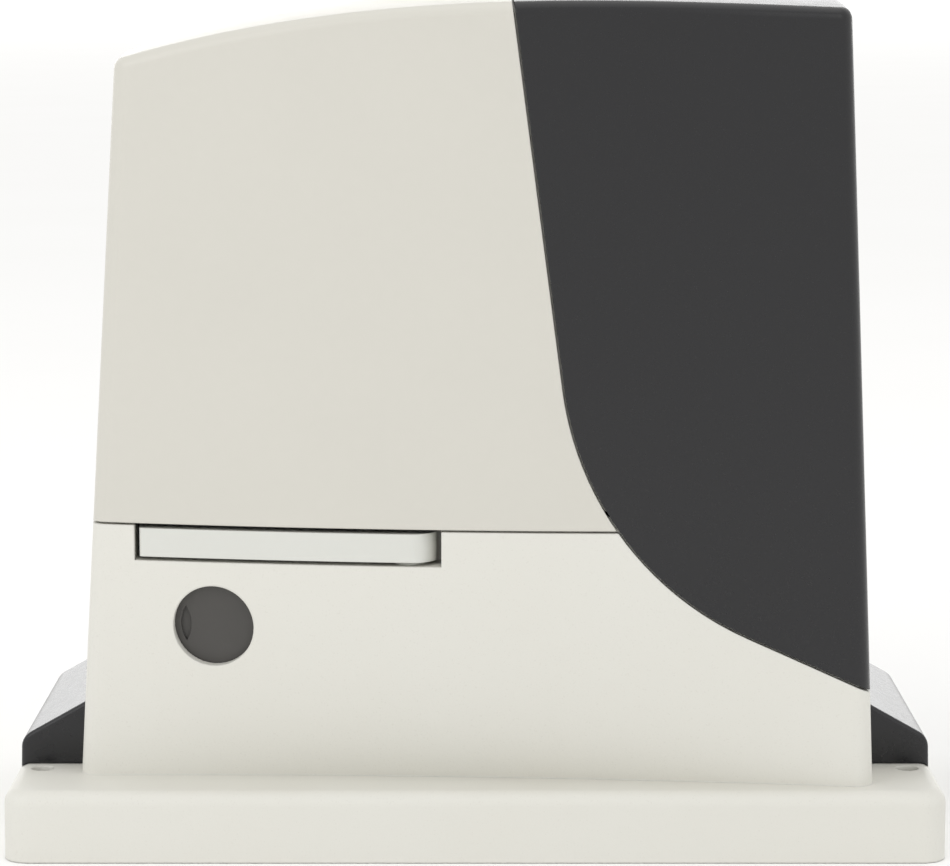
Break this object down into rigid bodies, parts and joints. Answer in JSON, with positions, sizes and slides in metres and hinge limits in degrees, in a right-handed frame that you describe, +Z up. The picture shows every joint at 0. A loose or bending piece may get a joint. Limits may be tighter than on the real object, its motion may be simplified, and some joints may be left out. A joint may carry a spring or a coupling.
{
  "type": "sliding gate motor",
  "caption": "Geared electric operator that drives a sliding gate's rack, with a cast base, a two-part swept cover, release handle, key lock and limit switch.",
  "frame": {"origin": "centre of the foundation face under the whole part, at the bottom of the bounding box", "axes": "+X to the right of the front view, along the gate; +Y back towards the gate and its rack; +Z up from the foundation"},
  "size_m": [0.33, 0.21, 0.303],
  "materials": {
    "cast_paint": "light grey textured paint on cast aluminium",
    "light_plastic": "light grey satin moulded plastic",
    "dark_plastic": "dark grey satin moulded plastic",
    "handle_plastic": "light grey satin moulded plastic",
    "shutter_plastic": "dark grey matt plastic",
    "steel": "machined steel",
    "zinc_steel": "zinc plated steel",
    "bearing_steel": "ground bearing steel",
    "bronze": "cast bronze",
    "brass": "turned brass",
    "copper": "enamelled copper wire",
    "cast_metal": "bare cast aluminium",
    "zinc_can": "zinc plated drawn steel",
    "black_rubber": "black rubber",
    "ferrite": "grey ferrite",
    "laminations": "stacked steel sheets",
    "carbon": "pressed carbon",
    "black_plastic": "black moulded plastic",
    "board_green": "green lacquered board",
    "terminal_green": "green moulded plastic",
    "relay_blue": "blue moulded plastic",
    "capacitor_sleeve": "dark shrink sleeve",
    "sink_aluminium": "black anodised aluminium",
    "fuse_glass": "clear glass with metal ends",
    "winding_tape": "yellow winding tape"
  },
  "bodies": {
    "base": {"base_casting": "cast_paint", "lock_housing": "black_plastic", "shaft_bearing_outers": "bearing_steel", "shaft_seal": "black_rubber", "gear_cover": "cast_metal", "gear_cover_screws": "zinc_steel", "worm_bush": "bronze", "motor_can": "zinc_can", "motor_magnets": "ferrite", "motor_lower_shield": "cast_metal", "motor_upper_shield": "cast_metal", "motor_bearing_outers": "bearing_steel", "motor_brushes": "carbon", "motor_bolts": "zinc_steel", "switch_block": "black_plastic", "cable_grommet": "black_rubber", "board_carrier": "black_plastic", "control_board": "board_green", "board_screws": "zinc_steel", "terminal_blocks": "terminal_green", "relays": "relay_blue", "capacitors": "capacitor_sleeve", "heat_sink": "sink_aluminium", "fuse_holder": "black_plastic", "fuse": "fuse_glass", "transformer_core": "laminations", "transformer_coil": "winding_tape", "transformer_strap": "zinc_steel", "transformer_screws": "zinc_steel"},
    "light_hood": {"light_cover": "light_plastic", "light_cover_screws": "zinc_steel"},
    "lid": {"dark_lid": "dark_plastic", "lid_screw": "zinc_steel"},
    "left_cap": {"bolt_cover_left": "dark_plastic"},
    "right_cap": {"bolt_cover_right": "dark_plastic"},
    "handle": {"release_handle": "handle_plastic"},
    "fork": {"shift_fork": "steel"},
    "shutter": {"lock_shutter": "shutter_plastic"},
    "key_core": {"lock_core": "brass"},
    "rotor": {"worm_shaft": "steel", "rotor_core": "laminations", "rotor_winding": "copper", "commutator": "copper", "motor_bearing_inners": "bearing_steel"},
    "wheel": {"worm_wheel": "bronze"},
    "collar": {"clutch_collar": "steel"},
    "shaft": {"output_shaft": "steel", "clutch_key": "steel", "pinion_key": "steel", "output_pinion": "zinc_steel", "pinion_washer": "zinc_steel", "pinion_circlip": "steel", "spacer_sleeve": "steel", "shaft_bearing_inners": "bearing_steel"},
    "whisker": {"switch_whisker": "steel"},
    "leveller_front_left": {"levelling_screw_front_left": "zinc_steel"},
    "leveller_front_right": {"levelling_screw_front_right": "zinc_steel"},
    "leveller_back_left": {"levelling_screw_back_left": "zinc_steel"},
    "leveller_back_right": {"levelling_screw_back_right": "zinc_steel"}
  },
  "joints": [
    {"name": "rotor_spin", "type": "hinge", "parent": "base", "child": "rotor", "pos_m": [-0.04375, 0.014, 0.18], "axis": [0, 0, 1], "continuous": true},
    {"name": "wheel_spin", "type": "hinge", "parent": "base", "child": "wheel", "pos_m": [0, 0.014, 0.088], "axis": [0, 1, 0], "continuous": true},
    {"name": "shaft_spin", "type": "hinge", "parent": "base", "child": "shaft", "pos_m": [0, 0.03, 0.088], "axis": [0, 1, 0], "continuous": true},
    {"name": "release_swing", "type": "hinge", "parent": "base", "child": "handle", "pos_m": [-0.0229, -0.08659, 0.11], "axis": [0, 0, 1], "range_deg": [0, 90]},
    {"name": "fork_shift", "type": "slide", "parent": "base", "child": "fork", "axis": [0, -1, 0], "range_m": [0, 0.004]},
    {"name": "collar_shift", "type": "slide", "parent": "shaft", "child": "collar", "axis": [0, -1, 0], "range_m": [0, 0.004]},
    {"name": "shutter_slide", "type": "slide", "parent": "base", "child": "shutter", "axis": [0.991, -0.1336, 0], "range_m": [0, 0.027]},
    {"name": "key_turn", "type": "hinge", "parent": "base", "child": "key_core", "pos_m": [-0.09038, -0.07373, 0.08144], "axis": [-0.133, -0.9865, -0.0952], "range_deg": [-90, 0]},
    {"name": "hood_lift", "type": "slide", "parent": "base", "child": "light_hood", "axis": [0, 0, 1], "range_m": [0, 0.2]},
    {"name": "lid_lift", "type": "slide", "parent": "light_hood", "child": "lid", "axis": [0, 0, 1], "range_m": [0, 0.26]},
    {"name": "left_cap_lift", "type": "slide", "parent": "base", "child": "left_cap", "axis": [0, 0, 1], "range_m": [0, 0.06]},
    {"name": "right_cap_lift", "type": "slide", "parent": "base", "child": "right_cap", "axis": [0, 0, 1], "range_m": [0, 0.06]},
    {"name": "whisker_tilt", "type": "hinge", "parent": "base", "child": "whisker", "pos_m": [0, 0.0625, 0.16], "axis": [0, 0, 1], "range_deg": [-30, 30], "stiffness_Nm_per_rad": 0.05},
    {"name": "level_front_left", "type": "slide", "parent": "base", "child": "leveller_front_left", "axis": [0, 0, 1], "range_m": [-0.008, 0]},
    {"name": "level_front_right", "type": "slide", "parent": "base", "child": "leveller_front_right", "axis": [0, 0, 1], "range_m": [-0.008, 0]},
    {"name": "level_back_left", "type": "slide", "parent": "base", "child": "leveller_back_left", "axis": [0, 0, 1], "range_m": [-0.008, 0]},
    {"name": "level_back_right", "type": "slide", "parent": "base", "child": "leveller_back_right", "axis": [0, 0, 1], "range_m": [-0.008, 0]}
  ],
  "couplings": [
    {"joint": "wheel_spin", "follows": "rotor_spin", "ratio": -0.033333},
    {"joint": "shaft_spin", "follows": "rotor_spin", "ratio": -0.033333},
    {"joint": "fork_shift", "follows": "release_swing", "m_per_rad": 0.0025465},
    {"joint": "collar_shift", "follows": "release_swing", "m_per_rad": 0.0025465}
  ]
}
